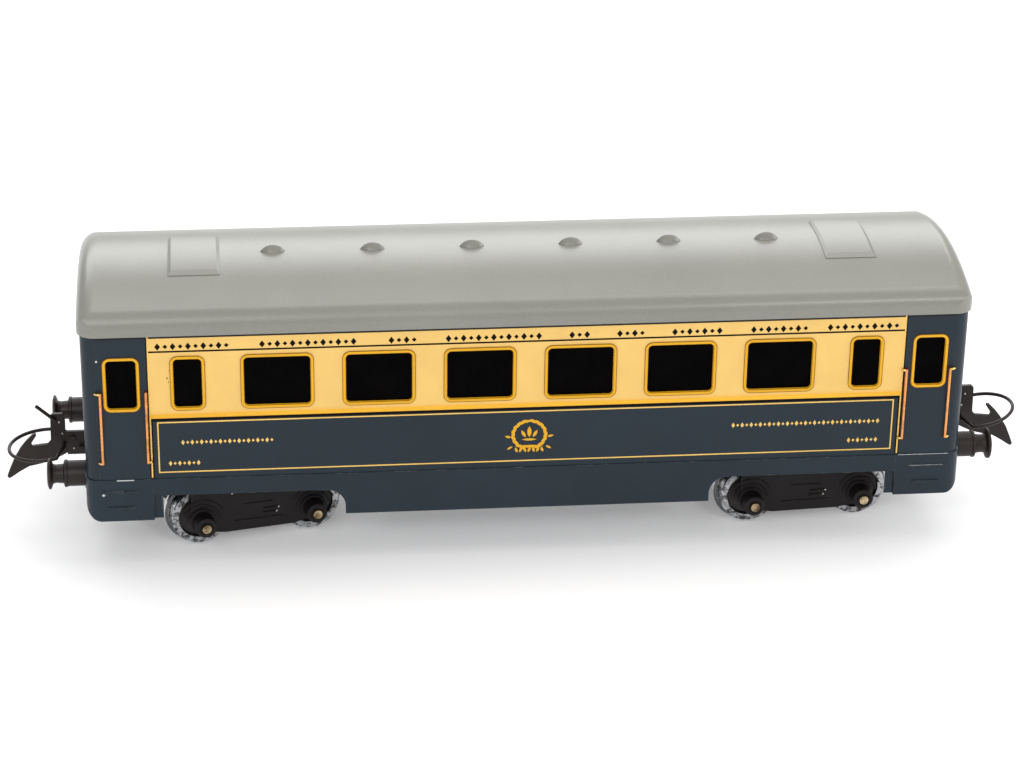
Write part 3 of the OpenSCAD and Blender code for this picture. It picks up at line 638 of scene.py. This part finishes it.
for side, sign in SIDES:
    turn = near_or_far(sign)
    bm = bmesh.new()
    # pale tin strips: a worn seam edge at the left end; at the right end the seam and the step rib below it are
    # painted highlights
    slab(bm, -133.2, -127.6, floor_line - 0.34, floor_line + 0.06, -skirt_face + 0.1, -skirt_face - 0.03)
    slab(bm, 122.2, 139.0, floor_line - 0.16, floor_line + 0.04, -skirt_face + 0.1, -skirt_face - 0.03)
    slab(bm, 126.4, 137.6, 27.18, 27.32, -skirt_face + 0.1, -skirt_face - 0.43)
    piece(f"seam_wear_and_highlight_{side}", bm, bare_tin, "coach_body", turn)
    bm = bmesh.new()
    dome(bm, (-137.6, -skirt_face, 26.0), (0, -1, 0), 0.55, 0.28)
    dome(bm, (-137.9, -face, 73.4), (0, -1, 0), 0.42, 0.22)
    piece(f"small_rivets_{side}", bm, bright, "coach_body", turn)
    bm = bmesh.new()
    for x, z, size in ((-115.2, 69.6, 0.5), (-115.9, 67.0, 0.8), (-115.4, 65.6, 0.5), (-114.9, 68.3, 0.35)):
        lozenge(bm, x, z, size * 0.5, size * 1.6, -face + 0.05, -face - 0.02)
    piece(f"paint_scratches_{side}", bm, black_print, "coach_body", turn)
    bm = bmesh.new()
    for s in (-1, 1):
        x = sorted((s * 121.5, s * 118.6))
        slab(bm, x[0], x[1], 16.7, 25.1, -skirt_face + 1.4, -skirt_face + 0.9)
        slab(bm, s * 118.75 - 0.16, s * 118.75 + 0.16, 16.7, 25.1, -skirt_face + 1.2, -skirt_face + 0.75)
    piece(f"opening_lip_{side}", bm, frame_paint, "coach_body", turn)

# ---- bogie detail, drawn about the bogie pin on the near side ----

FRAME_Y = 23.3
BOX_Y = 28.8
AXLE_Z = 11.3
HALF_BASE = 18.6


def arc(bm, x, z, radius, start, stop, y, thick, steps=18):
    """A wire rib along part of a circle on an upright face."""
    tube(bm, [(x + radius * math.cos(t), y, z + radius * math.sin(t))
              for t in (math.radians(start + (stop - start) * k / steps) for k in range(steps + 1))], thick, 8)


def ring(bm, x, z, inner, outer, y_back, y_front, sides=32):
    """A flat washer with an eased rim, standing on an upright face."""
    ease = (outer - inner) * 0.2
    section = ((inner, y_back), (inner, y_front + ease), (inner + ease, y_front), (outer - ease, y_front),
               (outer, y_front + ease), (outer, y_back))
    rings = [[bm.verts.new((x + r * math.cos(t), y, z + r * math.sin(t)))
              for r, y in section] for t in (2 * math.pi * k / sides for k in range(sides))]
    ring_faces(bm, rings)


for end, end_sign in ENDS:
    pin = joints[f"bogie_{end}_swivel"]["pos_m"]
    axis = joints[f"wheelset_{end}_outer_spin"]["axis"]
    heading = math.atan2(-axis[0], axis[1])
    for side, sign in SIDES:
        turn = Matrix.Translation((pin[0] / MM, 0, 0)) @ Matrix.Rotation(heading, 4, "Z")
        if sign > 0:
            turn = turn @ Matrix.Rotation(math.pi, 4, "Z")
        bm = bmesh.new()
        for sx in (-1, 1):
            ring(bm, sx * HALF_BASE, AXLE_Z, 2.0, 3.3, -BOX_Y + 0.2, -BOX_Y - 0.25)
            ring(bm, sx * HALF_BASE, AXLE_Z, 3.3, 4.3, -FRAME_Y + 0.1, -FRAME_Y - 0.7)
            arc(bm, sx * HALF_BASE, AXLE_Z, 5.6, 10, 170, -FRAME_Y - 0.05, 0.4)
            arc(bm, sx * HALF_BASE, AXLE_Z, 7.4, 25, 155, -FRAME_Y - 0.05, 0.3)
        for z, half in ((19.9, 8.6), (15.4, 5.0), (9.6, 8.0)):
            slab(bm, -half, half, z - 0.2, z + 0.2, -FRAME_Y + 0.1, -FRAME_Y - 0.3, 0.12)
        slab(bm, 1.6, 6.4, 12.6, 13.3, -FRAME_Y + 0.1, -FRAME_Y - 0.5, 0.2)
        slab(bm, 1.2, 5.8, 11.0, 11.7, -FRAME_Y + 0.1, -FRAME_Y - 0.5, 0.2)
        piece(f"bogie_pressing_{end}_{side}", bm, bogie_paint, f"bogie_{end}", turn)
        bm = bmesh.new()
        for x, z in ((-8.6, 19.9), (6.9, 12.9), (6.2, 11.4), (14.2, 19.6)):
            dome(bm, (x, -FRAME_Y, z), (0, -1, 0), 0.34, 0.25, skirt=0.05)
        piece(f"bogie_rivets_{end}_{side}", bm, bright, f"bogie_{end}", turn)
        for place, sx in (("outer", end_sign), ("inner", -end_sign)):
            bm = bmesh.new()
            local = sx if sign < 0 else -sx
            x = local * HALF_BASE
            rings = []
            for y, g in ((-BOX_Y - 0.02, 0.92), (-BOX_Y - 0.2, 1.0), (-BOX_Y - 0.75, 1.0), (-BOX_Y - 0.98, 0.72)):
                rings.append([bm.verts.new((x + 1.3 * g * c, y, AXLE_Z + 1.3 * g * q)) for c, q in (
                    (1, 0.62), (0.62, 1), (-0.62, 1), (-1, 0.62), (-1, -0.62), (-0.62, -1), (0.62, -1), (1, -0.62))])
            ring_faces(bm, rings, wrap=False)
            bm.faces.new(rings[0])
            bm.faces.new(rings[-1])
            piece(f"axle_cap_{end}_{place}_{side}", bm, brass, f"wheelset_{end}_{place}", turn)

# ---- coupling fixings ----

BUFFER_Y, BUFFER_Z = 23.5, 25.9
HOOK_RIVETS = ((152.5, 0, 35.8, 0.4, 0.3), (148.0, -1.2, 26.6, 0.36, 0.25), (151.6, 0, 31.6, 0.35, 0.25))
for end, s in ENDS:
    bm = bmesh.new()
    for x, y, z, radius, height in HOOK_RIVETS:
        dome(bm, (s * x, y, z), (0, -1, 0), radius, height)
    piece(f"hook_fixings_{end}", bm, bright, f"coupling_{end}")
    for side, sign in SIDES:
        bm = bmesh.new()
        for y in (-4.4, 4.4):
            dome(bm, (s * end_face, sign * BUFFER_Y + y, BUFFER_Z), (s, 0, 0), 0.5, 0.32)
        piece(f"buffer_rivets_{end}_{side}", bm, iron, "coach_body")

# ---- floor, lights and camera ----

FLOOR_HALF = 6.0
FLOOR_GLOW = 0.20
WORLD_GLOW = 0.52
bm = bmesh.new()
bmesh.ops.create_grid(bm, x_segments=1, y_segments=1, size=FLOOR_HALF)
mesh = bpy.data.meshes.new("studio_floor")
bm.to_mesh(mesh)
bm.free()
floor = bpy.data.objects.new("studio_floor", mesh)
bpy.context.scene.collection.objects.link(floor)
sh = Shader("studio_paper")
sh.set(Base_Color=sh.scaled((0.84, 0.84, 0.85), sh.span(sh.noise(3.0), 0.3, 0.7, 0.99, 1.01)), Roughness=0.85,
       Specular_IOR_Level=0.1, Emission_Color=(1.0, 1.0, 1.0, 1.0), Emission_Strength=FLOOR_GLOW)
mesh.materials.append(sh.material)

scene = bpy.context.scene
scene.view_settings.view_transform = "Standard"
world = bpy.data.worlds.new("studio")
scene.world = world
world.use_nodes = True
world.node_tree.nodes["Background"].inputs["Color"].default_value = (1.0, 1.0, 1.0, 1.0)
world.node_tree.nodes["Background"].inputs["Strength"].default_value = WORLD_GLOW


def softbox(name, place, target, width, height, power):
    """A rectangular area light at a place, facing a target."""
    light = bpy.data.lights.new(name, "AREA")
    light.shape = "RECTANGLE"
    light.size, light.size_y, light.energy = width, height, power
    ob = bpy.data.objects.new(name, light)
    ob.location = place
    ob.rotation_euler = (Vector(target) - Vector(place)).to_track_quat("-Z", "Y").to_euler()
    scene.collection.objects.link(ob)


softbox("top_softbox", (0.1, 0.35, 1.3), (0, 0, 0.03), 1.6, 0.9, 10.0)
softbox("back_softbox", (0.0, 1.5, 0.75), (0, 0, 0.08), 1.8, 0.7, 12.0)
softbox("front_softbox", (-0.5, -1.3, 0.9), (0, 0, 0.05), 0.9, 0.7, 8.2)
softbox("corner_softbox", (0.35, -0.95, 0.66), (0.12, -0.03, 0.085), 0.16, 0.16, 1.4)
softbox("right_softbox", (1.2, -0.1, 0.6), (0, 0, 0.05), 0.5, 0.6, 5.0)

LENS, YAW, PITCH, ROLL = 107.13, -0.105, 0.448, 0.015
CAMERA_PLACE = (-0.09836, -0.91163, 0.48524)
ahead = Vector((-math.sin(YAW) * math.cos(PITCH), math.cos(YAW) * math.cos(PITCH), -math.sin(PITCH)))
right = Vector((math.cos(YAW), math.sin(YAW), 0))
up = right.cross(ahead)
right, up = right * math.cos(ROLL) + up * math.sin(ROLL), up * math.cos(ROLL) - right * math.sin(ROLL)
camera = bpy.data.objects.new("camera", bpy.data.cameras.new("camera"))
camera.data.sensor_width = 36.0
camera.data.lens = LENS
place = Matrix((right, up, -ahead)).transposed().to_4x4()
place.translation = CAMERA_PLACE
camera.matrix_world = place
scene.collection.objects.link(camera)
scene.camera = camera
